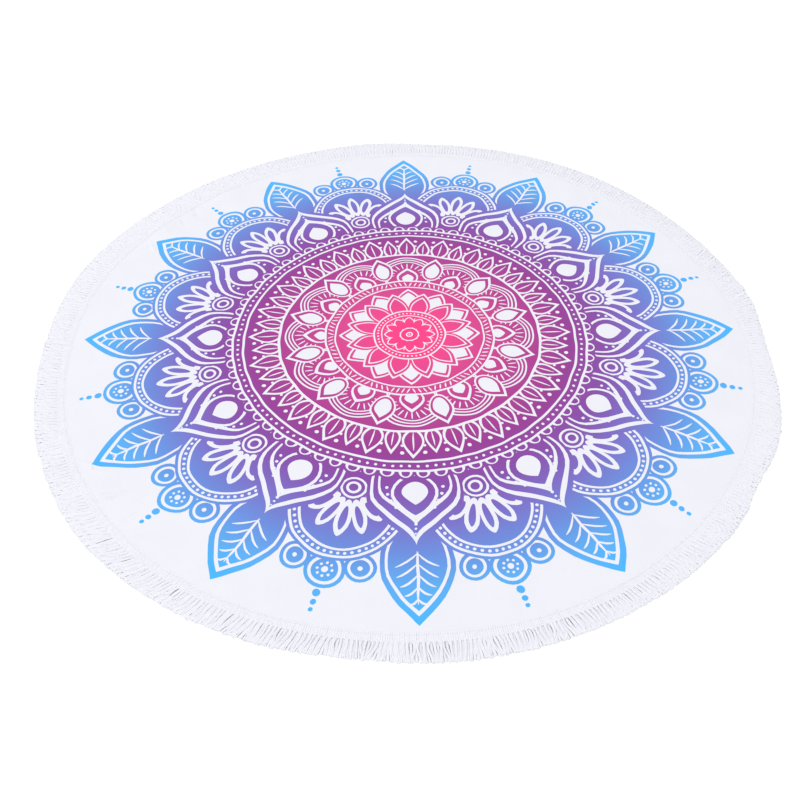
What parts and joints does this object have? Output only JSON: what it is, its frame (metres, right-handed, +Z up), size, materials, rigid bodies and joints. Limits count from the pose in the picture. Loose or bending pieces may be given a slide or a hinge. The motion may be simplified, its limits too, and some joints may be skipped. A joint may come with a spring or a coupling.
{
  "type": "round beach towel",
  "caption": "Round beach towel spread flat, its face printed with a floral mandala in pink, violet and blue, edged with a short white twisted fringe.",
  "frame": {"origin": "on the ground under the middle of the towel's box", "axes": "+Z up from the ground through the towel's middle, +Y away from the picture's viewer, +X to the viewer's right"},
  "size_m": [1.4964, 1.502, 0.0073],
  "materials": {
    "printed_cloth": "matt short-pile microfibre, dyed print on white",
    "fringe_yarn": "matt twisted yarn"
  },
  "bodies": {
    "root": {"towel_cloth": "printed_cloth", "fringe_trim": "fringe_yarn"}
  },
  "joints": []
}
